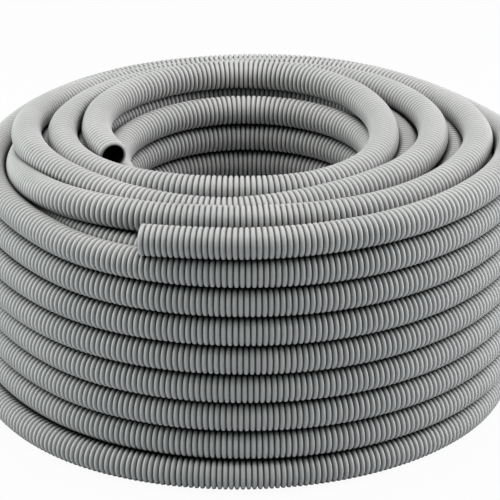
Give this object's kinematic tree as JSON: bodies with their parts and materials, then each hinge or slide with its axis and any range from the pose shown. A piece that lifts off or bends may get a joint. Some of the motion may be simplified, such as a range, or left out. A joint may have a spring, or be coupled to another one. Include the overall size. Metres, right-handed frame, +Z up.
{
  "type": "corrugated conduit",
  "caption": "Coil of ribbed plastic electrical conduit, wound flat with a round hole through the middle and both ends free.",
  "frame": {"origin": "centre of the coil's foot, on the floor", "axes": "+Z up along the coil's hole, -Y towards the front, where the outer end lies"},
  "size_m": [0.469, 0.469, 0.2218],
  "materials": {
    "conduit": "satin light grey plastic with even round ribs"
  },
  "bodies": {
    "root": {"conduit": "conduit"}
  },
  "joints": []
}
